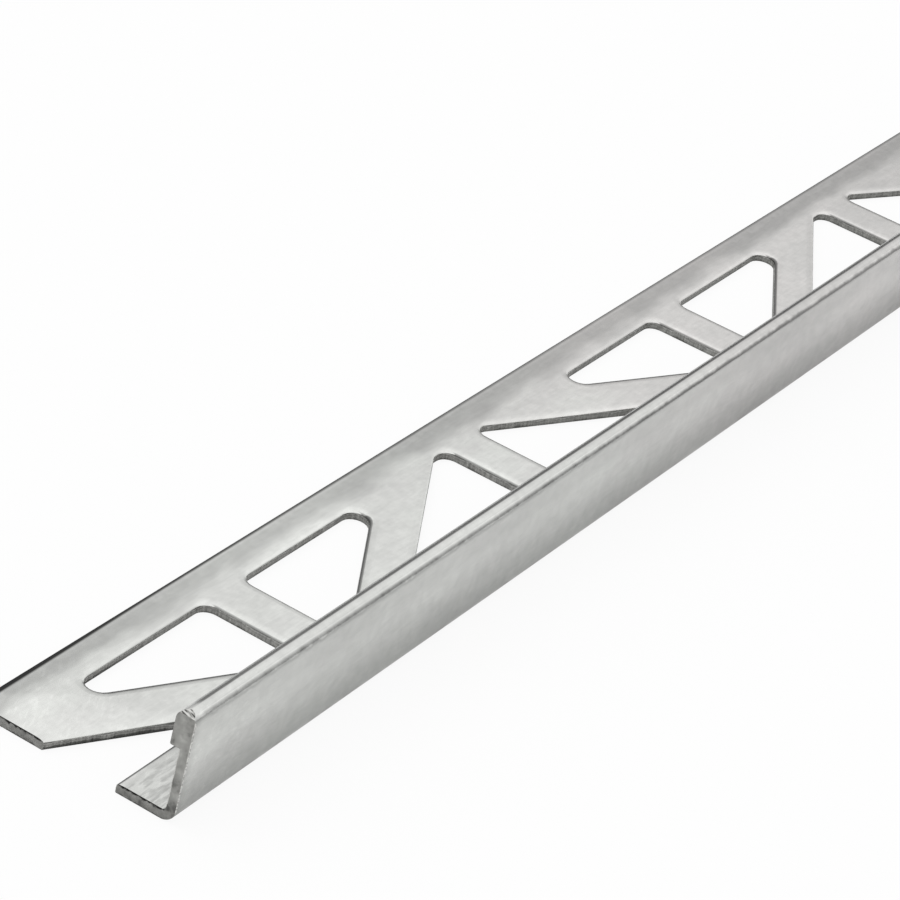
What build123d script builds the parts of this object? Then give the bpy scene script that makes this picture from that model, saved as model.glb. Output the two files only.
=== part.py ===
from build123d import *
import os

# Tile edge trim: one strip of stainless sheet, folded lengthwise.
# A pierced leg lies on the floor under the tile, and a wall with a hemmed rim stands at its front edge.
# +X runs along the strip, away from the end that is seen cut. +Y runs from the wall to the leg's back edge.

# sheet and section
sheet_thickness = 1.0
wall_height = 11.0
leg_width = 21.1
bend_inner_radius = 0.4
hem_depth = 3.7
sheared_edge_radius = 0.15

# length of the strip, and where the first strut of the pattern falls from its near end
strip_length = 1000.0
first_strut = 31.5

# holes punched in the leg: two mirrored pairs to a pitch, one wide at the back and one wide at the front
hole_pitch = 85.3
hole_depth = 11.2
back_strip = 3.9
strut_width = 5.5
long_side = 24.0
short_side = 1.8
corner_radius = 1.4
front_pair_shift = -0.5

# levels and edges that follow from the sizes above
bend_outer_radius = bend_inner_radius + sheet_thickness
hem_bottom = wall_height - hem_depth
fold_height = wall_height - sheet_thickness
wall_face = -leg_width / 2
wall_back = wall_face + sheet_thickness
hem_back = wall_back + sheet_thickness
leg_edge = leg_width / 2
near_end = -strip_length / 2
far_end = strip_length / 2
hole_middle = leg_edge - back_strip - hole_depth / 2
pair_reach = strut_width / 2 + long_side


def pair_centres(strut):
    """Places along the strip of the struts whose pair of holes falls on it, whole or cut through."""
    while strut - pair_reach > near_end:
        strut -= hole_pitch
    places = []
    while strut - pair_reach < far_end:
        if strut + pair_reach > near_end:
            places.append((strut, hole_middle))
        strut += hole_pitch
    return places


back_pairs = pair_centres(near_end + first_strut)
front_pairs = pair_centres(near_end + first_strut + hole_pitch / 2 + front_pair_shift)

# one pair of holes about the strut between them: square to the strut, with a slanting outer side
with BuildSketch() as hole_pair:
    with BuildLine():
        Polyline(
            (strut_width / 2, hole_depth / 2),
            (pair_reach, hole_depth / 2),
            (strut_width / 2 + short_side, -hole_depth / 2),
            (strut_width / 2, -hole_depth / 2),
            close=True,
        )
    make_face()
    fillet(hole_pair.vertices(), corner_radius)
    mirror(about=Plane.YZ)

with BuildPart() as edge_trim:
    # folded section: leg, bend, wall, and the hem folded down flat against the inside of the wall
    with BuildSketch(Plane.YZ) as section:
        with BuildLine():
            Polyline((leg_edge, 0), (wall_face, 0), (wall_face, fold_height))
            ThreePointArc((wall_face, fold_height), (wall_back, wall_height), (hem_back, fold_height))
            Polyline(
                (hem_back, fold_height),
                (hem_back, hem_bottom),
                (wall_back, hem_bottom),
                (wall_back, sheet_thickness),
                (leg_edge, sheet_thickness),
                (leg_edge, 0),
            )
        make_face()
        corners = section.vertices()
        outer_bend = corners.sort_by_distance((wall_face, 0))[0]
        inner_bend = corners.sort_by_distance((wall_back, sheet_thickness))[0]
        hem_corner = corners.sort_by_distance((hem_back, hem_bottom))[0]
        leg_corners = corners.group_by(Axis.X)[-1]
        fillet(outer_bend, bend_outer_radius)
        fillet(inner_bend, bend_inner_radius)
        fillet(leg_corners + [hem_corner], sheared_edge_radius)
    extrude(amount=strip_length / 2, both=True)
    # holes punched down through the leg
    with BuildSketch(Plane.XY.offset(sheet_thickness)) as punched:
        with Locations(*back_pairs):
            add(hole_pair.sketch)
        with Locations(*front_pairs):
            add(hole_pair.sketch, rotation=180)
    extrude(amount=-sheet_thickness, mode=Mode.SUBTRACT)

os.makedirs("parts", exist_ok=True)
edge_trim.part.label = "edge_trim"
export_step(edge_trim.part, "parts/edge_trim.step")
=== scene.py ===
from math import pi, radians, tan

import bmesh
import bpy
from mathutils import Matrix, Vector


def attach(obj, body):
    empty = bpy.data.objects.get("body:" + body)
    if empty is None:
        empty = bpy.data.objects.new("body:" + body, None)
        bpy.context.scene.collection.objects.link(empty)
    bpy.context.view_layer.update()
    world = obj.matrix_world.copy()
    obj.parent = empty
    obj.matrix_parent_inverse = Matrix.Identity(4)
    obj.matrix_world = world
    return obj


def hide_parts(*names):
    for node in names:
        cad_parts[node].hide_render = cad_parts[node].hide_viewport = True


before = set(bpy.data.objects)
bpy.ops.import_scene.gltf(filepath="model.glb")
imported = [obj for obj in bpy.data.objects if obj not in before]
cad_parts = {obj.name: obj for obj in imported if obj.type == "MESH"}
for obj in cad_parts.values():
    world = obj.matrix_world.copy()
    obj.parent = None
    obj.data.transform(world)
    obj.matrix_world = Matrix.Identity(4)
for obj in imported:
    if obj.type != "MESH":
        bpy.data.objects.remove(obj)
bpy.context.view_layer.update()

print("frame loaded")

# Sizes are in millimetres, as the strip is made. mm() turns them to metres for the mesh.
strip = {
    "length": 1000.0,
    "sheet": 1.0,
    "wallHeight": 11.0,
    "legWidth": 21.1,
    "bendInside": 0.4,
    "hemDepth": 3.7,
    "shearedEdge": 0.15,
    "foldLine": 0.06,       # mouth of the closed fold, under the hem
    "support": 0.06,        # short flats beside each arc keep the large faces flat in the shading
    "insideSteps": 6,       # facets of the bend's inside and outside, of the fold and of a sheared edge
    "bendSteps": 12,
    "foldSteps": 24,
    "edgeSteps": 4,
    "flatAfterBend": 0.9,   # where the pierced flat begins, past the bend
    "flatBeforeEdge": 0.1,  # and where it stops, before the rounded edge
    "stepAlong": 2.8,       # distance between sections along the strip, so that one falls in each strut's flat
    "sawnEdge": 0.05,       # rounding left where the sawn ends were wiped with a file
    # two strokes of the file took off corners at each end
    "arris": (0.10, 0.07, 1.6),       # up the wall: how far back and in, and how much wider at the top
    "topStroke": (0.62, 0.34, 0.10),  # over the fold: how far back and down, and its lean to the wall's face
    "sharpFrom": 28.0,      # edges that turn by more than this many degrees stay sharp
    "weld": 0.0002,         # points nearer than this are one
}

holes = {
    "firstStrut": 31.5,    # from the near end
    "pitch": 85.3,
    "depth": 11.2,
    "backStrip": 3.9,
    "strut": 5.7,
    "longSide": 24.0,
    "shortSide": 1.8,
    "corner": 1.4,
    "frontTip": 0.6,       # sharper corner at the front, in the pairs that are wide there
    "frontShift": -0.5,    # the pairs that are wide at the front come a little early
    "wander": 0.30,        # the coil sat this far along in the press
    "frontSkew": 0.40,     # and the struts of those pairs stand this far off their middle
    # The feed slips a little now and then: how much longer a hole came out, by its strut, counted from
    # the near end, and the side of the strut that it is on.
    "slips": {(1, 1): -0.6, (2, 1): 0.2, (3, 1): 0.3, (4, -1): 0.2},
    # The punch draws the edge in on its way through: how far out from the hole's line, and how deep.
    # Below, it leaves a rounded lip. Both run to a neck at half depth.
    "drawnIn": ((0.85, 0.0), (0.76, 0.004), (0.60, 0.015), (0.42, 0.031), (0.28, 0.052), (0.18, 0.077),
                (0.10, 0.112), (0.03, 0.160), (-0.02, 0.215)),
    "brokenOut": ((0.04, 0.0), (-0.01, 0.03), (-0.03, 0.09), (-0.04, 0.18)),
    "neck": -0.05,
    "rim": 0.92,           # the flat starts this far out
    "satinDepth": 0.2,     # the drawn edge is satin down to here
    "satinLip": 0.005,     # and the lip up to here
    "cornerSteps": 9,
    "weld": 0.01,
}

satinSlot, punchedSlot, sawnSlot, slitSlot, filedSlot = range(5)  # material slots, by surface

nearEnd, farEnd = -strip["length"] / 2, strip["length"] / 2
wallFace, legEdge = -strip["legWidth"] / 2, strip["legWidth"] / 2
sheet = strip["sheet"]
wallBack, hemBack = wallFace + sheet, wallFace + 2 * sheet
hemBottom = strip["wallHeight"] - strip["hemDepth"]
foldHeight = strip["wallHeight"] - sheet
bendOutside = strip["bendInside"] + sheet
flatStart = wallFace + bendOutside + strip["flatAfterBend"]
flatStop = legEdge - strip["shearedEdge"] - strip["flatBeforeEdge"]
holeMiddle = legEdge - holes["backStrip"] - holes["depth"] / 2
onPlane = 1e-7  # in metres: points nearer than this to a plane are on it


def mm(*values):
    return Vector([value / 1000 for value in values])


def only(geom, kind):
    return [item for item in geom if isinstance(item, kind)]


# Holes: each starts as a flat face of its outline, a rim's width too large, and is sunk by insets.
def holeOutline(bm, pad, longer, tip):
    half, inner = holes["depth"] / 2, holes["strut"] / 2
    short = holes["shortSide"] + max(longer, 0)  # no shorter, because its two corners need the room
    points = [Vector((inner, half)), Vector((inner, -half)),
              Vector((inner + short, -half)), Vector((inner + holes["longSide"] + longer, half))]
    ends = []
    for i, point in enumerate(points):
        radius = tip if i == 3 else holes["corner"]
        arriving = (point - points[i - 1]).normalized()
        leaving = (points[(i + 1) % 4] - point).normalized()
        turn = -arriving.angle_signed(leaving)
        centre = point + (Vector((-arriving.y, arriving.x)) - arriving * tan(turn / 2)) * radius
        out = Vector((arriving.y, -arriving.x)) * (radius + pad)
        first = bm.verts.new(mm(centre.x + out.x, centre.y + out.y, sheet))
        spun = bmesh.ops.spin(bm, geom=[first], cent=mm(centre.x, centre.y, sheet), axis=(0, 0, 1),
                              angle=turn, steps=holes["cornerSteps"])
        ends.append((first, only(spun["geom_last"], bmesh.types.BMVert)[0]))
    for i, (first, last) in enumerate(ends):
        bm.edges.new((last, ends[(i + 1) % 4][0]))
    return bmesh.ops.contextual_create(bm, geom=bm.edges[:])["faces"][0]


def punchHole(longer, tip):
    whole, mesh = bmesh.new(), bpy.data.meshes.new("hole")
    for edge, below in ((holes["drawnIn"], False), (holes["brokenOut"], True)):
        bm = bmesh.new()
        acrossRim = bm.verts.layers.float.new("rimPlace")  # 0 plain sheet, 1 at the wall of the hole; places the painted shade over the rim
        face = holeOutline(bm, holes["rim"], longer, tip)
        face.normal_update()
        if face.normal.z < 0:
            face.normal_flip()
        out, deep = holes["rim"], 0.0
        for nextOut, nextDeep in edge + ((holes["neck"], sheet / 2),):
            bmesh.ops.inset_region(bm, faces=[face], thickness=(out - nextOut) / 1000,
                                   depth=(deep - nextDeep) / 1000, use_even_offset=True, use_boundary=True)
            out, deep = nextOut, nextDeep
            for vert in face.verts:
                vert[acrossRim] = 0.0 if below else (holes["rim"] - out) / (holes["rim"] - holes["neck"])
        bmesh.ops.delete(bm, geom=[face], context="FACES_ONLY")
        if below:
            turned = Matrix.Translation(mm(0, 0, sheet)) @ Matrix.Diagonal((1, 1, -1, 1))
            bmesh.ops.transform(bm, verts=bm.verts[:], matrix=turned)
        bm.to_mesh(mesh)
        bm.free()
        whole.from_mesh(mesh)
    # the two halves meet at half depth
    bmesh.ops.remove_doubles(whole, verts=whole.verts[:], dist=holes["weld"] / 1000)
    whole.to_mesh(mesh)
    whole.free()
    return mesh


# Struts along the strip, from one pitch before it to past its end: place, side that is wide, and number.
def strutsAlong():
    pitch, first = holes["pitch"], nearEnd + holes["firstStrut"] + holes["wander"]
    found = []
    for k in range(-1, int(strip["length"] / pitch) + 3):
        found.append((first + k * pitch, 1, 2 * k + 1))
        found.append((first + (k + 0.5) * pitch + holes["frontShift"], -1, 2 * k + 2))
    return sorted(found)


def punchPattern(bm, struts, start, stop):
    shapes = {}
    for x, side, strut in struts:
        for hand in (1, -1):
            reach = x + hand * holes["longSide"]
            if not (start <= x <= stop and start <= reach <= stop):
                continue
            longer = holes["slips"].get((strut, hand), 0.0)
            if side == -1:
                longer -= holes["frontSkew"] * hand
            kind = round(longer, 2), holes["corner" if side == 1 else "frontTip"]
            if kind not in shapes:
                shapes[kind] = punchHole(*kind)
            before = len(bm.verts)
            bm.from_mesh(shapes[kind])
            bm.verts.ensure_lookup_table()
            # hand mirrors the hole about its strut, side turns its wide side to the front
            placed = Matrix.Translation(mm(x, holeMiddle, 0)) @ Matrix.Diagonal((hand, side, 1, 1))
            bmesh.ops.transform(bm, verts=bm.verts[before:], matrix=placed)
    print("holes punched in", len(shapes), "lengths")


# Section: two open lines, one round the bend, wall and hem, one round the leg's sheared edge.
def runTo(bm, vert, y, z):
    new = bmesh.ops.extrude_vert_indiv(bm, verts=[vert])["verts"][0]
    new.co = Vector((vert.co.x, y / 1000, z / 1000))
    return new


def arcTo(bm, vert, y, z, degrees, steps):
    spun = bmesh.ops.spin(bm, geom=[vert], cent=Vector((vert.co.x, y / 1000, z / 1000)), axis=(1, 0, 0),
                          angle=radians(degrees), steps=steps)
    return only(spun["geom_last"], bmesh.types.BMVert)[0]


def drawSection(bm, x):
    inside, sheared, support = strip["bendInside"], strip["shearedEdge"], strip["support"]
    edgeSteps, mouth = strip["edgeSteps"], strip["foldLine"]
    v = bm.verts.new(mm(x, flatStart, sheet))
    v = runTo(bm, v, wallBack + inside + support, sheet)
    v = runTo(bm, v, wallBack + inside, sheet)
    v = arcTo(bm, v, wallBack + inside, sheet + inside, -90, strip["insideSteps"])
    v = runTo(bm, v, wallBack, sheet + inside + support)
    v = runTo(bm, v, wallBack, hemBottom - support)
    v = runTo(bm, v, wallBack, hemBottom)
    v = runTo(bm, v, wallBack + mouth / 3, hemBottom + 2 * mouth)
    v = runTo(bm, v, wallBack + mouth, hemBottom)
    v = runTo(bm, v, hemBack - sheared, hemBottom)
    v = arcTo(bm, v, hemBack - sheared, hemBottom + sheared, 90, edgeSteps)
    v = runTo(bm, v, hemBack, hemBottom + sheared + support)
    v = runTo(bm, v, hemBack, foldHeight - support)
    v = runTo(bm, v, hemBack, foldHeight)
    v = arcTo(bm, v, wallBack, foldHeight, 180, strip["foldSteps"])
    v = runTo(bm, v, wallFace, foldHeight - support)
    v = runTo(bm, v, wallFace, bendOutside + support)
    v = runTo(bm, v, wallFace, bendOutside)
    v = arcTo(bm, v, wallFace + bendOutside, bendOutside, 90, strip["bendSteps"])
    v = runTo(bm, v, wallFace + bendOutside + support, 0)
    runTo(bm, v, flatStart, 0)
    v = bm.verts.new(mm(x, flatStop, 0))
    v = runTo(bm, v, legEdge - sheared, 0)
    v = arcTo(bm, v, legEdge - sheared, sheared, 90, edgeSteps)
    v = runTo(bm, v, legEdge, sheet - sheared)
    v = arcTo(bm, v, legEdge - sheared, sheet - sheared, 90, edgeSteps)
    runTo(bm, v, flatStop, sheet)


def drawAlong(bm, start, step, count):
    drawn = len(bm.edges)
    drawSection(bm, start)
    bm.edges.ensure_lookup_table()
    line = bm.edges[drawn:]
    for k in range(count):
        grown = bmesh.ops.extrude_edge_only(bm, edges=line)["geom"]
        bmesh.ops.translate(bm, verts=only(grown, bmesh.types.BMVert), vec=mm(step, 0, 0))
        line = [edge for edge in only(grown, bmesh.types.BMEdge)
                if abs(edge.verts[0].co.x - edge.verts[1].co.x) < onPlane]
    print("section drawn along in", count, "steps")


# The pierced flat is filled in cells, from the middle of one strut to the middle of the next.
def fillFlat(bm, z, seams):
    near, beside = 0.001, 0.01  # how far a point may be off the flat's borders, and off a seam
    flat = [v for v in bm.verts if abs(v.co.z * 1000 - z) < near
            and flatStart - near < v.co.y * 1000 < flatStop + near]
    for v in flat:
        v.co.z = z / 1000
    for x in seams:
        bm.edges.new([v for v in flat if abs(v.co.x * 1000 - x) < beside
                      and min(abs(v.co.y * 1000 - flatStart), abs(v.co.y * 1000 - flatStop)) < near])
    inFlat = set(flat)
    border = [e for e in bm.edges if len(e.link_faces) < 2 and inFlat.issuperset(e.verts)]
    for left, right in zip(seams, seams[1:]):
        cell = [e for e in border if all(left - beside < v.co.x * 1000 < right + beside for v in e.verts)]
        bmesh.ops.triangle_fill(bm, use_beauty=True, use_dissolve=False, edges=cell, normal=Vector((0, 0, 1)))


def cutOff(bm, point, normal, slot):
    cut = bmesh.ops.bisect_plane(bm, geom=bm.verts[:] + bm.edges[:] + bm.faces[:], dist=onPlane,
                                 plane_co=point, plane_no=normal, clear_outer=True)["geom_cut"]
    bmesh.ops.edgeloop_fill(bm, edges=only(cut, bmesh.types.BMEdge), mat_nr=slot)


def sawOff(bm, x, outward):
    cutOff(bm, mm(x, 0, 0), (outward, 0, 0), sawnSlot)
    back, inward, widens = strip["arris"]
    taper = (1 - widens) / strip["wallHeight"]
    cutOff(bm, mm(x - outward * back, wallFace, 0), (outward / back, -1 / inward, -taper), filedSlot)
    back, down, lean = strip["topStroke"]
    top = strip["wallHeight"]
    cutOff(bm, mm(x - outward * back, wallBack, top), (outward / back, -lean, 1 / down), filedSlot)


def surfaceOf(face):
    centre, normal = face.calc_center_median() * 1000, face.normal
    near, tilt = 0.3, 0.3  # mm from an edge and lean of a normal, so that the arcs beside it count too
    legsEdge = centre.y > legEdge - near and normal.y > tilt
    hemsEdge = abs(centre.z - hemBottom) < near and abs(normal.z + 1) < tilt
    if legsEdge or hemsEdge:
        return slitSlot
    upright = abs(normal.z) < 0.9
    if flatStart < centre.y < flatStop and upright and holes["satinLip"] < centre.z < sheet - holes["satinDepth"]:
        return punchedSlot
    return satinSlot


def makeStrip():
    bm = bmesh.new()
    struts = strutsAlong()
    # the blank runs from strut to strut, past both ends, so that no hole is cut before the saw
    start = max(x for x, side, strut in struts if x < nearEnd)
    stop = min(x for x, side, strut in struts if x > farEnd)
    punchPattern(bm, struts, start, stop)
    count = round((stop - start) / strip["stepAlong"])
    step = (stop - start) / count
    drawAlong(bm, start, step, count)
    seams = [start + step * round((x - start) / step) for x, side, strut in struts if start <= x <= stop]
    for z in (0, sheet):
        fillFlat(bm, z, seams)
    sawOff(bm, nearEnd, -1)
    sawOff(bm, farEnd, 1)
    bmesh.ops.remove_doubles(bm, verts=bm.verts[:], dist=strip["weld"] / 1000)
    bmesh.ops.recalc_face_normals(bm, faces=bm.faces[:])
    print("sawn to length, open edges:", sum(1 for e in bm.edges if not e.is_manifold))
    cutSlots = (sawnSlot, filedSlot)
    cutEdges = [e for e in bm.edges if any(f.material_index in cutSlots for f in e.link_faces)]
    bmesh.ops.bevel(bm, geom=cutEdges, affect="EDGES", offset=strip["sawnEdge"] / 1000,
                    offset_type="OFFSET", segments=2, profile=0.5, material=-1, clamp_overlap=True)
    for face in bm.faces:
        if face.material_index not in cutSlots:
            face.material_index = surfaceOf(face)
            face.smooth = True
    mesh = bpy.data.meshes.new("Trim_strip")
    bm.to_mesh(mesh)
    bm.free()
    mesh.set_sharp_from_angle(angle=radians(strip["sharpFrom"]))
    piece = bpy.data.objects.new("Trim_strip", mesh)
    bpy.context.collection.objects.link(piece)
    triangles = sum(len(polygon.vertices) - 2 for polygon in mesh.polygons)
    print("strip made:", len(mesh.vertices), "vertices,", triangles, "triangles")
    return piece


# settings that many nodes share
smooth = {"interpolation_type": "SMOOTHSTEP"}
colors = {"data_type": "RGBA"}
numbers = {"data_type": "FLOAT"}
scaled = {"operation": "SCALE"}
added = {"operation": "ADD"}
subtracted = {"operation": "SUBTRACT"}
multiplied = {"operation": "MULTIPLY"}
multipliedAdded = {"operation": "MULTIPLY_ADD"}
divided = {"operation": "DIVIDE"}
lessThan = {"operation": "LESS_THAN"}
moreThan = {"operation": "GREATER_THAN"}


def linear(code):
    values = [int(code[i:i + 2], 16) / 255 for i in (1, 3, 5)]
    return [v / 12.92 if v <= 0.04045 else ((v + 0.055) / 1.055) ** 2.4 for v in values] + [1.0]


# An input is a number, a socket, or a node, which gives its first output. A color ramp has stops,
# and a range has a span: from, to, and then the values that it gives there.
def addNode(tree, kind, settings=None, inputs=None, stops=(), span=()):
    new = tree.nodes.new("ShaderNode" + kind)
    for key, value in (settings or {}).items():
        setattr(new, key, value)
    usable = [socket for socket in new.inputs if socket.enabled]
    spanned = zip(("From Min", "From Max", "To Min", "To Max"), span)
    for key, value in [*(inputs or {}).items(), *spanned]:
        socket = usable[key] if isinstance(key, int) else next(s for s in usable if s.name == key)
        if isinstance(value, bpy.types.Node):
            value = next(s for s in value.outputs if s.enabled)
        if isinstance(value, bpy.types.NodeSocket):
            tree.links.new(value, socket)
        else:
            socket.default_value = value
    for i, (position, color) in enumerate(stops):
        stop = new.color_ramp.elements[i] if i < 2 else new.color_ramp.elements.new(position)
        stop.position = position
        stop.color = linear(color) if isinstance(color, str) else (color, color, color, 1)
    return new


def newMaterial(name):
    material = bpy.data.materials.new(name)
    material.use_nodes = True
    material.node_tree.nodes.clear()
    return material, material.node_tree


# The place on the strip in millimetres, whole and as x, y and z.
def placeInMm(tree):
    place = addNode(tree, "TexCoord").outputs["Object"]
    inMm = addNode(tree, "VectorMath", scaled, {0: place, "Scale": 1000.0})
    return inMm, addNode(tree, "SeparateXYZ", None, {0: inMm}).outputs


# Every finish ends as bare metal: its color, its roughness, and its relief with a strength and a depth.
def bareMetal(tree, color, roughness, relief=None, strength=1.0, depth=0.0, under=None):
    inputs = {"Base Color": color, "Metallic": 1.0, "Roughness": roughness}
    if relief:
        bump = {"Height": relief, "Strength": strength, "Distance": depth / 1000}
        inputs["Normal"] = addNode(tree, "Bump", None, bump | ({"Normal": under} if under else {}))
    shader = addNode(tree, "BsdfPrincipled", None, inputs)
    addNode(tree, "OutputMaterial", None, {"Surface": shader})


# Cold-rolled austenitic stainless sheet, satin from the rolls: a soft grey sheen with faint clouds,
# lines along the rolling direction and a few handling scratches.
# A tone of 1 leaves the metal as it is. A reach is a distance from the middle of the strip, both ways.
# Four values are a span: the first two are from and to, and the others the tones or heights there.
satin = {
    "light": "#dcdcda",
    "tint": ((0.2, "#d6d8d4"), (0.8, "#dbd8d6")),  # cool to warm
    "tintRepeat": 260.0,   # the tint and a dull tone drift along the coil
    "tintStart": 415.0,
    "tintDrift": 0.8,
    "toneDrift": (-0.075, 0.935),
    "cloudSize": 4.2,      # across the strip; the rolls drew the clouds out along it
    "cloudDrawn": 0.45,
    "cloudTone": (0.3, 0.7, 1.05, 0.95),
    "cloudRoughness": (0.3, 0.7, 0.16, 0.26),
    "wave": 0.020,         # how far the sheet is out of flat
    "patchSize": 30.0,     # larger dull patches, and how much tone they take
    "patchTone": (0.35, 0.65, 1.1158, 0.9474),
    "mottleSize": 1.1,
    "mottleTone": (0.3, 0.7, 0.95, 1.05),
    "grainWidth": 0.30,    # rolling lines
    "grainDrawn": 0.15,
    "grainTone": (0.3, 0.7, 0.96, 1.03),
    "grainRelief": (0.12, 0.02),  # strength and depth
    # the saw's clamp scratched the last of each end, a little across the rolling lines
    "scratchLean": 24,     # degrees
    "scratchDrawn": 4,
    "scratchesPerMm": 2.6,
    "scratchRise": (0.54, 0.66, 0.0, 0.07),
    "scratchReach": (485.0, 493.0),
    # tone up the outside of the wall, all painted reflection: darker towards the bottom, where it paints the
    # floor's shade, a painted dark line under the fold and a painted highlight above it
    "wallShading": ((0.0, 0.71), (1.5, 0.75), (3.0, 0.82), (4.6, 0.95), (6.4, 1.04), (7.5, 1.03), (8.4, 0.94),
               (9.4, 0.93), (9.9, 0.90), (10.12, 0.80), (10.3, 0.58), (10.42, 0.66), (10.56, 1.02), (10.7, 1.14)),
    "wallDepth": 0.45,     # how far back from its face the wall's tones go
    "wobble": 0.5,         # width of the line's waves
    "risen": (455.0, 405.0, 0.0, 0.20),      # the painted shading sits higher away from the ends
    "touched": (498.8, 499.9, 1.0, 0.86),    # where the file touched the wall at the ends
    # tone over the fold, from the outside of the wall to its back, painted shade that darkens towards its back,
    # and where it takes over from the leg's
    "foldShading": ((0.0, 1.04), (0.5, 1.0), (1.1, 1.02), (1.4, 1.0), (1.68, 0.95), (2.0, 0.88)),
    "foldFrom": (0.3, 0.45),
    # tone across the leg, from the wall to the edge that was slit from the coil, and its ragged borders: painted
    # shade darkens it next to the wall, and it is darker also in a band before the slit edge
    "acrossLeg": ((0.0, 0.86), (2.0, 0.83), (5.4, 0.83), (6.6, 1.0), (8.0, 1.12), (17.7, 1.12), (18.2, 1.03),
                  (18.6, 0.92), (19.3, 0.77), (20.2, 0.76), (20.55, 0.84)),
    "borderClouds": (4.2, -2.6),  # how far the clouds move the borders, and back
    "borderStop": (9.4, 10.0, 1.0, 0.0),
    "slitLine": (10.05, 10.33),  # the edge rolls over here, and a painted dark reflection runs along it
    "slitShade": (0.48, 0.04),    # its painted shade far along, and near the ends, where it is darker
    "endShadeReach": (380.0, 495.0),
    "lineWidens": (470.0, 500.0, 0.0, 0.22),  # and the painted line is wider there
    # painted shade over the rim of a hole, from the plain sheet to the wall, with a dark line at the wall
    "shadedRim": ((0.0, 1.0), (0.16, 0.97), (0.64, 0.98), (0.77, 0.95), (0.85, 0.58), (0.94, 0.34), (1.0, 0.34)),
    "litRim": ((0.0, 1.0), (0.16, 0.97), (0.97, 1.0), (1.0, 0.9)),
    "litLean": (-0.08, -0.22),  # a rim that leans to the wall by this much is left lit, without the painted dark line
    "shadedLean": (0.07, 0.15, 1.0, 0.46),  # one that leans away from it gets darker painted shade
    "lipLean": (0.05, 0.12),         # and one that leans to the near end too gets painted shade at its lip alone
    "lipTone": (0.64, 0.76, 1.0, 0.4),
    "nearLean": (0.0, -0.04),
    # rubbed streaks in front of the holes
    "rubWidth": 0.45,
    "rubLean": -4,
    "rubDrawn": 0.22,
    "rubTone": (0.38, 0.60, 0.78, 1.06),
    "rubFront": (5.6, 4.6),
    "rubHeight": 1.2,
}
mostTone = 1.2  # a color ramp holds no more than 1, so tones are stored as shares of this


def tonesOver(width, tones):
    return [(place / width, tone / mostTone) for place, tone in tones]


# One tone runs up the wall, one over the fold and one across the leg, with ragged borders. They hold painted
# reflection and shade, and a painted dark line along the slit edge.
def shadeOverSection(tree, parts, along, clouds, mottle):
    wobble = satin["wobble"]
    height = addNode(tree, "Math", multipliedAdded, {0: mottle, 1: wobble, 2: -wobble / 2})
    height = addNode(tree, "Math", added, {0: height, 1: parts["Z"]})
    risen = addNode(tree, "MapRange", smooth, {"Value": along}, span=satin["risen"])
    height = addNode(tree, "Math", subtracted, {0: height, 1: risen})
    height = addNode(tree, "Math", divided, {0: height, 1: strip["wallHeight"]})
    # painted reflection up the wall: darker towards the bottom, a dark line under the fold and a highlight above
    # it
    wallTone = addNode(tree, "ValToRGB", None, {"Fac": height}, tonesOver(strip["wallHeight"], satin["wallShading"]))
    touched = addNode(tree, "MapRange", smooth, {"Value": along}, span=satin["touched"])
    wallTone = addNode(tree, "VectorMath", scaled, {0: wallTone, "Scale": touched})

    across = addNode(tree, "Math", subtracted, {0: parts["Y"], 1: wallFace})
    over = addNode(tree, "MapRange", None, {"Value": across}, span=(0, 2 * sheet))
    # painted shade over the round of the fold, darker towards its back
    foldTone = addNode(tree, "ValToRGB", None, {"Fac": over}, tonesOver(2 * sheet, satin["foldShading"]))

    swing, back = satin["borderClouds"]
    ragged = addNode(tree, "Math", multipliedAdded, {0: clouds, 1: swing, 2: back})
    ragged = addNode(tree, "Math", added, {0: mottle, 1: ragged})
    straight = addNode(tree, "MapRange", smooth, {"Value": parts["Y"]}, span=satin["borderStop"])
    reach = addNode(tree, "Math", multipliedAdded, {0: ragged, 1: straight, 2: across})
    reach = addNode(tree, "Math", divided, {0: reach, 1: strip["legWidth"]})
    # painted shade darkens the leg next to the wall; a darker band lies before the slit edge
    legTone = addNode(tree, "ValToRGB", None, {"Fac": reach}, tonesOver(strip["legWidth"], satin["acrossLeg"]))

    # painted dark reflection along the rolled slit edge, darker and wider near the ends
    lineWidens = addNode(tree, "MapRange", smooth, {"Value": along}, span=satin["lineWidens"])
    lineWidens = addNode(tree, "Math", added, {0: parts["Y"], 1: lineWidens})
    slitLine = addNode(tree, "MapRange", smooth, {"Value": lineWidens}, span=satin["slitLine"])
    slitShades = [tone / mostTone for tone in satin["slitShade"]]
    slitShade = addNode(tree, "MapRange", smooth, {"Value": along}, span=(*satin["endShadeReach"], *slitShades))
    legTone = addNode(tree, "Mix", colors, {"Factor": slitLine, "A": legTone, "B": slitShade})

    foldFrom = [foldHeight + rise for rise in satin["foldFrom"]]
    onFold = addNode(tree, "MapRange", smooth, {"Value": parts["Z"]}, span=foldFrom)
    legTone = addNode(tree, "Mix", colors, {"Factor": onFold, "A": legTone, "B": foldTone})
    onWall = addNode(tree, "Math", lessThan, {0: parts["Y"], 1: wallFace + satin["wallDepth"]})
    tone = addNode(tree, "Mix", colors, {"Factor": onWall, "A": legTone, "B": wallTone})
    return across, addNode(tree, "VectorMath", scaled, {0: tone, "Scale": mostTone})
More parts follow.
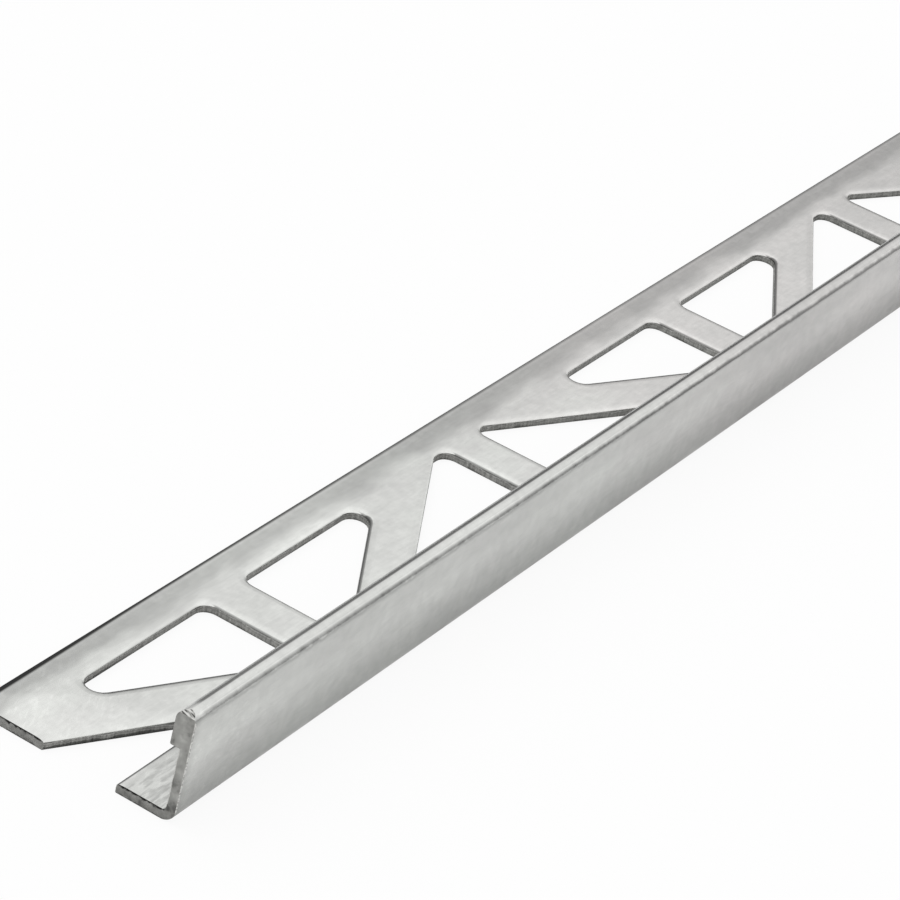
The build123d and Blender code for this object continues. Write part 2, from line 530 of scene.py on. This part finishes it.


# Painted shade over the rim of each hole: a dark line at its wall, darker on rims that lean away from the wall,
# and left out on the rims that lean to the wall, which stay lit.
def shadeOverRim(tree):
    acrossRim = addNode(tree, "Attribute", {"attribute_name": "rimPlace"}).outputs["Fac"]
    normal = addNode(tree, "NewGeometry").outputs["Normal"]
    lean = addNode(tree, "SeparateXYZ", None, {0: normal}).outputs
    shaded = addNode(tree, "MapRange", smooth, {"Value": lean["Y"]}, span=satin["shadedLean"])
    lip = addNode(tree, "MapRange", smooth, {"Value": acrossRim}, span=satin["lipTone"])
    back = addNode(tree, "MapRange", smooth, {"Value": lean["Y"]}, span=satin["lipLean"])
    lip = addNode(tree, "Mix", numbers, {"Factor": back, "A": 1.0, "B": lip})
    near = addNode(tree, "MapRange", smooth, {"Value": lean["X"]}, span=satin["nearLean"])
    shaded = addNode(tree, "Mix", numbers, {"Factor": near, "A": shaded, "B": lip})
    dark = addNode(tree, "ValToRGB", None, {"Fac": acrossRim}, satin["shadedRim"])
    dark = addNode(tree, "VectorMath", scaled, {0: dark, "Scale": shaded})
    bright = addNode(tree, "ValToRGB", None, {"Fac": acrossRim}, satin["litRim"])
    lit = addNode(tree, "MapRange", smooth, {"Value": lean["Y"]}, span=satin["litLean"])
    return addNode(tree, "Mix", colors, {"Factor": lit, "A": dark, "B": bright})


def satinSheet():
    material, tree = newMaterial("Stainless_satin_rolled")
    inMm, parts = placeInMm(tree)
    along = addNode(tree, "Math", {"operation": "ABSOLUTE"}, {0: parts["X"]})

    drawn = addNode(tree, "Mapping", None, {"Vector": inMm, "Scale": (satin["cloudDrawn"], 1, 1)})
    clouds = addNode(tree, "TexNoise", None, {"Vector": drawn, "Scale": 1 / satin["cloudSize"], "Detail": 3.0})
    cloudTone = addNode(tree, "MapRange", None, {"Value": clouds}, span=satin["cloudTone"])
    mottle = addNode(tree, "TexNoise", None, {"Vector": inMm, "Scale": 1 / satin["mottleSize"], "Detail": 3.0})
    mottleTone = addNode(tree, "MapRange", None, {"Value": mottle}, span=satin["mottleTone"])
    patches = addNode(tree, "TexNoise", None, {"Vector": drawn, "Scale": 1 / satin["patchSize"], "Detail": 2.0})
    patchTone = addNode(tree, "MapRange", smooth, {"Value": patches}, span=satin["patchTone"])

    drift = addNode(tree, "Math", added, {0: parts["X"], 1: satin["tintStart"]})
    drift = addNode(tree, "Math", multiplied, {0: drift, 1: 2 * pi / satin["tintRepeat"]})
    drift = addNode(tree, "Math", {"operation": "SINE"}, {0: drift})
    swing, middle = satin["toneDrift"]
    driftTone = addNode(tree, "Math", multipliedAdded, {0: drift, 1: swing, 2: middle})
    tint = addNode(tree, "Math", multipliedAdded, {0: drift, 1: satin["tintDrift"], 2: clouds})
    tint = addNode(tree, "ValToRGB", None, {"Fac": tint}, satin["tint"])
    base = addNode(tree, "Mix", colors, {"Factor": clouds, "A": tint, "B": linear(satin["light"])})

    across, tone = shadeOverSection(tree, parts, along, clouds, mottle)
    tone = addNode(tree, "VectorMath", multiplied, {0: tone, 1: shadeOverRim(tree)})

    lines = addNode(tree, "Mapping", None, {"Vector": inMm, "Scale": (satin["grainDrawn"], 1, 1)})
    grain = addNode(tree, "TexNoise", None, {"Vector": lines, "Scale": 1 / satin["grainWidth"], "Detail": 3.0})
    grainTone = addNode(tree, "MapRange", None, {"Value": grain}, span=satin["grainTone"])

    leaning = addNode(tree, "Mapping", {"vector_type": "TEXTURE"},
                      {"Vector": inMm, "Rotation": (0, 0, radians(satin["scratchLean"])),
                       "Scale": (satin["scratchDrawn"], 1, 1)})
    scratch = addNode(tree, "TexNoise", None, {"Vector": leaning, "Scale": satin["scratchesPerMm"], "Detail": 3.0})
    scratch = addNode(tree, "MapRange", smooth, {"Value": scratch}, span=satin["scratchRise"])
    clamped = addNode(tree, "MapRange", smooth, {"Value": along}, span=satin["scratchReach"])
    scratchTone = addNode(tree, "Math", multipliedAdded, {0: scratch, 1: clamped, 2: 1.0})

    leaning = addNode(tree, "Mapping", None, {"Vector": inMm, "Rotation": (0, 0, radians(satin["rubLean"])),
                                              "Scale": (satin["rubDrawn"], 1, 1)})
    rubbed = addNode(tree, "TexNoise", None, {"Vector": leaning, "Scale": 1 / satin["rubWidth"], "Detail": 3.0})
    rubbed = addNode(tree, "MapRange", smooth, {"Value": rubbed}, span=satin["rubTone"])
    front = addNode(tree, "MapRange", smooth, {"Value": across}, span=satin["rubFront"])
    low = addNode(tree, "Math", lessThan, {0: parts["Z"], 1: satin["rubHeight"]})
    front = addNode(tree, "Math", multiplied, {0: front, 1: low})
    rubTone = addNode(tree, "Mix", numbers, {"Factor": front, "A": 1.0, "B": rubbed})

    for share in (patchTone, driftTone, grainTone, scratchTone, rubTone, cloudTone, mottleTone):
        tone = addNode(tree, "VectorMath", scaled, {0: tone, "Scale": share})
    color = addNode(tree, "Mix", colors | {"blend_type": "MULTIPLY"}, {"Factor": 1.0, "A": base, "B": tone})
    rough = addNode(tree, "MapRange", None, {"Value": clouds}, span=satin["cloudRoughness"])
    waves = addNode(tree, "Bump", None, {"Height": clouds, "Strength": 1.0, "Distance": satin["wave"] / 1000})
    bareMetal(tree, color, rough, grain, *satin["grainRelief"], under=waves)
    return material


# The same sheet where a punch sheared it: a smooth burnished band at the top and torn, dull metal below, both
# drawn into upright streaks. The bottom is darker partly as that duller metal and partly as painted reflection of
# the floor's shade.
punched = {
    # darker at the bottom: torn metal with painted reflection of the floor's shade
    "torn": ((0.04, "#6e6e6b"), (0.20, "#969693"), (0.42, "#a4a4a1"), (0.56, "#92928f"), (0.70, "#a8a8a5"),
             (0.80, "#6c6c6a")),
    "streakWidth": 0.22,   # finer in the metal, drawn wide enough to show
    "streakDrawn": 0.2,
    "streakTone": (0.35, 0.65, 0.80, 1.22),
    "streakRise": 0.20,    # how far the streaks and the larger spots move the bands up and down
    "spotSize": 2.0,
    "spotRise": 0.7,
    # painted shade over the lower half near the ends
    "endShadeTone": 0.40,
    "endShadeReach": (476.0, 490.0),
    "endShadeHeight": (0.45, 0.30),
    "roughness": (0.6, 0.75, 0.62, 0.30),
    "relief": (0.5, 0.06),
}


def punchedWall():
    material, tree = newMaterial("Stainless_punched")
    inMm, parts = placeInMm(tree)
    upright = addNode(tree, "Mapping", None, {"Vector": inMm, "Scale": (1, 1, punched["streakDrawn"])})
    streaks = addNode(tree, "TexNoise", None,
                      {"Vector": upright, "Scale": 1 / punched["streakWidth"], "Detail": 2.0})
    spots = addNode(tree, "TexNoise", None, {"Vector": upright, "Scale": 1 / punched["spotSize"], "Detail": 3.0})
    streakRise, spotRise = punched["streakRise"], punched["spotRise"]
    band = addNode(tree, "Math", multipliedAdded, {0: spots, 1: spotRise, 2: -(streakRise + spotRise) / 2})
    band = addNode(tree, "Math", multipliedAdded, {0: streaks, 1: streakRise, 2: band})
    band = addNode(tree, "Math", added, {0: band, 1: parts["Z"]})
    tone = addNode(tree, "ValToRGB", None, {"Fac": band}, punched["torn"])
    streakTone = addNode(tree, "MapRange", None, {"Value": streaks}, span=punched["streakTone"])
    along = addNode(tree, "Math", {"operation": "ABSOLUTE"}, {0: parts["X"]})
    # painted shade: the lower half of the wall is darker near the ends
    reached = addNode(tree, "MapRange", smooth, {"Value": along}, span=punched["endShadeReach"])
    low = addNode(tree, "MapRange", smooth, {"Value": band}, span=punched["endShadeHeight"])
    endShaded = addNode(tree, "Math", multiplied, {0: reached, 1: low})
    endShadeTone = addNode(tree, "Mix", numbers, {"Factor": endShaded, "A": 1.0, "B": punched["endShadeTone"]})
    for share in (streakTone, endShadeTone):
        tone = addNode(tree, "VectorMath", scaled, {0: tone, "Scale": share})
    rough = addNode(tree, "MapRange", None, {"Value": band}, span=punched["roughness"])
    bareMetal(tree, tone, rough, streaks, *punched["relief"])
    return material


# The same sheet across a saw cut: dull, with fine marks, dark smears of cutting oil and a burr along its borders,
# whose dark line also holds painted shadow.
sawn = {
    "tone": ((0.30, "#6f6f6d"), (0.42, "#8e8e8b"), (0.60, "#9c9c99"), (0.72, "#a9a9a6")),
    "markSize": 0.9,
    "roughness": 0.6,
    "relief": (0.4, 0.1),
    "upTone": (0.9, 3.5, 1.0, 1.22),  # the saw cut cleaner up the wall than in the leg
    "burr": "#2c2c2b",
    "burrSize": 0.5,
    "burrWave": 0.7,
    "burrLine": (0.74, 0.92),     # height where the burr's dark line, partly painted shadow, begins and is full, under the top of the leg
    "underLine": (0.16, 0.03),    # the same above its underside
    "underShare": 0.6,
    "legFrom": (0.1, 1.2),        # the leg's burr starts this far behind the wall, and stays under this height
    # between the bend and the hem the blade rolled a bright burr over the inside of the wall
    "brightBurr": "#cfcfcb",
    "brightWave": 0.4,
    "brightLine": (-0.10, -0.04),
    "brightFrom": 0.3,            # above the bend
    # chips and oil in the inside of the bend: how far behind the wall and how high, and the smudge's span
    "smudge": (-0.12, 1.28),
    "smudgeShare": (0.42, 0.18, 0.0, 0.55),
}


def sawnEnd():
    material, tree = newMaterial("Stainless_sawn")
    inMm, parts = placeInMm(tree)
    marks = addNode(tree, "TexNoise", None, {"Vector": inMm, "Scale": 1 / sawn["markSize"], "Detail": 4.0})
    tone = addNode(tree, "ValToRGB", None, {"Fac": marks}, sawn["tone"])
    up = addNode(tree, "MapRange", smooth, {"Value": parts["Z"]}, span=sawn["upTone"])
    tone = addNode(tree, "VectorMath", scaled, {0: tone, "Scale": up})

    wave = sawn["burrWave"]
    torn = addNode(tree, "TexNoise", None, {"Vector": inMm, "Scale": 1 / sawn["burrSize"], "Detail": 3.0})
    torn = addNode(tree, "Math", multipliedAdded, {0: torn, 1: wave, 2: -wave / 2})
    height = addNode(tree, "Math", added, {0: torn, 1: parts["Z"]})
    above = addNode(tree, "MapRange", smooth, {"Value": height}, span=sawn["burrLine"])
    below = addNode(tree, "MapRange", smooth, {"Value": height}, span=sawn["underLine"])
    behind, lower = sawn["legFrom"]
    for onLeg in (addNode(tree, "Math", moreThan, {0: parts["Y"], 1: wallBack + behind}),
                  addNode(tree, "Math", lessThan, {0: parts["Z"], 1: lower})):
        above = addNode(tree, "Math", multiplied, {0: above, 1: onLeg})
    # the burr's dark lines along the top and underside hold painted shadow too
    burr = addNode(tree, "Math", multipliedAdded, {0: below, 1: sawn["underShare"], 2: above})
    tone = addNode(tree, "Mix", colors, {"Factor": burr, "A": tone, "B": linear(sawn["burr"])})

    inside = addNode(tree, "Math", multipliedAdded, {0: torn, 1: sawn["brightWave"], 2: parts["Y"]})
    inside = addNode(tree, "MapRange", smooth, {"Value": inside}, span=[wallBack + y for y in sawn["brightLine"]])
    for free in (addNode(tree, "Math", lessThan, {0: parts["Z"], 1: hemBottom}),
                 addNode(tree, "Math", moreThan, {0: parts["Z"], 1: bendOutside + sawn["brightFrom"]})):
        inside = addNode(tree, "Math", multiplied, {0: inside, 1: free})
    tone = addNode(tree, "Mix", colors, {"Factor": inside, "A": tone, "B": linear(sawn["brightBurr"])})

    behind, high = sawn["smudge"]
    onCut = addNode(tree, "VectorMath", multiplied, {0: inMm, 1: (0, 1, 1)})
    smudge = addNode(tree, "VectorMath", {"operation": "DISTANCE"}, {0: onCut, 1: (0, wallBack + behind, high)})
    smudge = addNode(tree, "Math", added, {0: smudge, 1: torn})
    smudge = addNode(tree, "MapRange", smooth, {"Value": smudge}, span=sawn["smudgeShare"])
    tone = addNode(tree, "Mix", colors, {"Factor": smudge, "A": tone, "B": linear(sawn["burr"])})
    bareMetal(tree, tone, sawn["roughness"], marks, *sawn["relief"])
    return material


# The same sheet where a file took off the sharp corner: bright, with dark lines left by its teeth.
filed = {
    "smeared": ((0.38, "#4a4a48"), (0.46, "#9a9a97"), (0.56, "#c9c9c6"), (0.70, "#dededb")),
    "plain": ((0.34, "#a2a29f"), (0.48, "#c6c6c3"), (0.66, "#dcdcd9")),
    "smearedFrom": (0.3, 0.6),  # over the fold
    "toothPitch": 0.16,         # drawn about twice as coarse as the real teeth, to show
    "strokeLean": -18,
    "strokeDrawn": 9,
    "roughness": 0.34,
    "relief": (0.4, 0.06),
}


def filedCorner():
    material, tree = newMaterial("Stainless_filed")
    inMm, parts = placeInMm(tree)
    leaning = addNode(tree, "Mapping", {"vector_type": "TEXTURE"},
                      {"Vector": inMm, "Rotation": (0, 0, radians(filed["strokeLean"])),
                       "Scale": (1, filed["strokeDrawn"], 1)})
    lines = addNode(tree, "TexNoise", None, {"Vector": leaning, "Scale": 1 / filed["toothPitch"], "Detail": 1.0})
    smearedFrom = [foldHeight + rise for rise in filed["smearedFrom"]]
    onTop = addNode(tree, "MapRange", None, {"Value": parts["Z"]}, span=smearedFrom)
    plain = addNode(tree, "ValToRGB", None, {"Fac": lines}, filed["plain"])
    smeared = addNode(tree, "ValToRGB", None, {"Fac": lines}, filed["smeared"])
    tone = addNode(tree, "Mix", colors, {"Factor": onTop, "A": plain, "B": smeared})
    bareMetal(tree, tone, filed["roughness"], lines, *filed["relief"])
    return material


# The same sheet along its slit edges: a plain grey cut, finely lined. Its dark grey on the rolled edge is partly
# painted reflection.
slit = {
    "tone": ((0.0, "#5c5c5a"), (1.0, "#7c7c79")),
    "lineWidth": 0.4,
    "lineDrawn": 0.1,
    "roughness": 0.5,
}


def slitEdge():
    material, tree = newMaterial("Stainless_slit")
    inMm, parts = placeInMm(tree)
    along = addNode(tree, "Mapping", None, {"Vector": inMm, "Scale": (slit["lineDrawn"], 1, 1)})
    lines = addNode(tree, "TexNoise", None, {"Vector": along, "Scale": 1 / slit["lineWidth"], "Detail": 3.0})
    tone = addNode(tree, "ValToRGB", None, {"Fac": lines}, slit["tone"])
    bareMetal(tree, tone, slit["roughness"])
    return material


trim = makeStrip()
# in the order of the slots that the faces were given
for material in (satinSheet(), punchedWall(), sawnEnd(), slitEdge(), filedCorner()):
    trim.data.materials.append(material)
print("finishes on")
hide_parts("edge_trim")
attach(trim, "root")

studio = {
    "floorSize": 6.0,
    "floorDrop": 0.05,     # the floor lies this far under the strip, in mm
    "floorColor": "#dcdcdc",
    "floorWhite": 0.92,    # share of plain white that the floor shows to the camera
    "floorInMetal": 0.15,  # and the share that it shows in the metal
    # sky brightness by height: ahead along the strip, on the side nearest the camera, off to the sides
    # where dark flags stand, and past those
    "ahead": ((0.0, 0.10), (0.18, 0.16), (0.28, 0.66), (0.42, 0.80), (0.58, 0.93), (0.68, 1.05), (1.0, 1.05)),
    "nearSide": ((0.0, 0.85), (0.3, 0.9), (0.58, 0.97), (0.68, 1.05)),
    "aside": ((0.0, 0.13), (0.2, 0.19), (0.42, 0.56), (0.58, 0.93), (0.68, 1.05), (1.0, 1.05)),
    "openSide": ((0.0, 0.50), (0.25, 0.72), (0.58, 0.93), (0.68, 1.05)),
    "nearAngle": (0.22, 0.06),  # sine of the bearing off the strip where the side nearest the camera begins
    "flagAngle": (0.80, 0.93),  # cosine of the bearing from the strip where the flags end beside it
    "openAngle": (0.62, 0.84),  # and where they begin, off to its sides
    # a softbox over the leg: its direction, the cosines where it fades in, and its brightness
    "boxWay": (0.0, 0.6, 0.8),
    "boxEdge": (0.78, 0.97),
    "boxLight": 2.0,
}


def makeFloor():
    bm = bmesh.new()
    bmesh.ops.create_grid(bm, x_segments=1, y_segments=1, size=studio["floorSize"] / 2)
    bmesh.ops.translate(bm, verts=bm.verts[:], vec=mm(0, 0, -studio["floorDrop"]))
    mesh = bpy.data.meshes.new("Floor")
    bm.to_mesh(mesh)
    bm.free()
    floor = bpy.data.objects.new("Floor", mesh)
    bpy.context.collection.objects.link(floor)
    material, tree = newMaterial("Floor_white")
    rays = addNode(tree, "LightPath").outputs
    inMetal = addNode(tree, "Math", {"operation": "MAXIMUM"},
                      {0: rays["Is Glossy Ray"], 1: rays["Is Transmission Ray"]})
    share = addNode(tree, "Math", multiplied, {0: inMetal, 1: studio["floorInMetal"]})
    share = addNode(tree, "Math", multipliedAdded, {0: rays["Is Camera Ray"], 1: studio["floorWhite"], 2: share})
    matt = addNode(tree, "BsdfDiffuse", None, {"Color": linear(studio["floorColor"])})
    glow = addNode(tree, "Emission", None, {"Color": (1, 1, 1, 1), "Strength": 1.0})
    mix = addNode(tree, "MixShader", None, {0: share, 1: matt, 2: glow})
    addNode(tree, "OutputMaterial", None, {"Surface": mix})
    mesh.materials.append(material)
    print("floor laid")


def makeWorld():
    world = bpy.data.worlds.new("Studio")
    bpy.context.scene.world = world
    world.use_nodes = True
    tree = world.node_tree
    tree.nodes.clear()
    way = addNode(tree, "TexCoord").outputs["Generated"]
    height = addNode(tree, "SeparateXYZ", None, {0: way}).outputs["Z"]
    bearing = addNode(tree, "VectorMath", multiplied, {0: way, 1: (1, 1, 0)})
    bearing = addNode(tree, "VectorMath", {"operation": "NORMALIZE"}, {0: bearing})
    bearing = addNode(tree, "SeparateXYZ", None, {0: bearing}).outputs
    ahead, nearSide, aside, openSide = [addNode(tree, "ValToRGB", None, {"Fac": height}, studio[side])
                                        for side in ("ahead", "nearSide", "aside", "openSide")]
    turned = addNode(tree, "MapRange", smooth, {"Value": bearing["Y"]}, span=studio["nearAngle"])
    ahead = addNode(tree, "Mix", colors, {"Factor": turned, "A": ahead, "B": nearSide})
    flagged = addNode(tree, "MapRange", smooth, {"Value": bearing["X"]}, span=studio["openAngle"])
    aside = addNode(tree, "Mix", colors, {"Factor": flagged, "A": openSide, "B": aside})
    clear = addNode(tree, "MapRange", smooth, {"Value": bearing["X"]}, span=studio["flagAngle"])
    sky = addNode(tree, "Mix", colors, {"Factor": clear, "A": aside, "B": ahead})
    # the softbox lights the floor and leaves no hot spot in the metal
    rays = addNode(tree, "LightPath").outputs
    facing = addNode(tree, "VectorMath", {"operation": "DOT_PRODUCT"}, {0: way, 1: studio["boxWay"]})
    box = addNode(tree, "MapRange", smooth, {"Value": facing}, span=(*studio["boxEdge"], 0.0, studio["boxLight"]))
    box = addNode(tree, "Math", multiplied, {0: box, 1: rays["Is Diffuse Ray"]})
    sky = addNode(tree, "Mix", colors | {"blend_type": "ADD"}, {"Factor": 1.0, "A": sky, "B": box})
    around = addNode(tree, "Background", None, {"Color": sky, "Strength": 1.0})
    white = addNode(tree, "Background", None, {"Color": (1, 1, 1, 1), "Strength": 1.0})
    mix = addNode(tree, "MixShader", None, {0: rays["Is Camera Ray"], 1: around, 2: white})
    addNode(tree, "OutputWorld", None, {"Surface": mix})
    print("studio lit")


view = {
    "place": (-730.26, -131.89, 186.86),
    "target": (-427.26, 6.92, 0.0),
    "roll": 14.55,
    "lens": 153.5,
    "sensor": 36.0,
    "sees": (0.01, 20.0),  # metres, nearest and farthest
}


def makeCamera():
    data = bpy.data.cameras.new("Camera")
    data.lens, data.sensor_width = view["lens"], view["sensor"]
    data.clip_start, data.clip_end = view["sees"]
    camera = bpy.data.objects.new("Camera", data)
    bpy.context.collection.objects.link(camera)
    place, target = mm(*view["place"]), mm(*view["target"])
    turn = (target - place).to_track_quat("-Z", "Y").to_matrix().to_4x4()
    camera.matrix_world = Matrix.Translation(place) @ turn @ Matrix.Rotation(radians(view["roll"]), 4, "Z")
    bpy.context.scene.camera = camera
    print("camera set")


makeFloor()
makeWorld()
makeCamera()
bpy.context.scene.view_settings.view_transform = "Standard"

print("done")
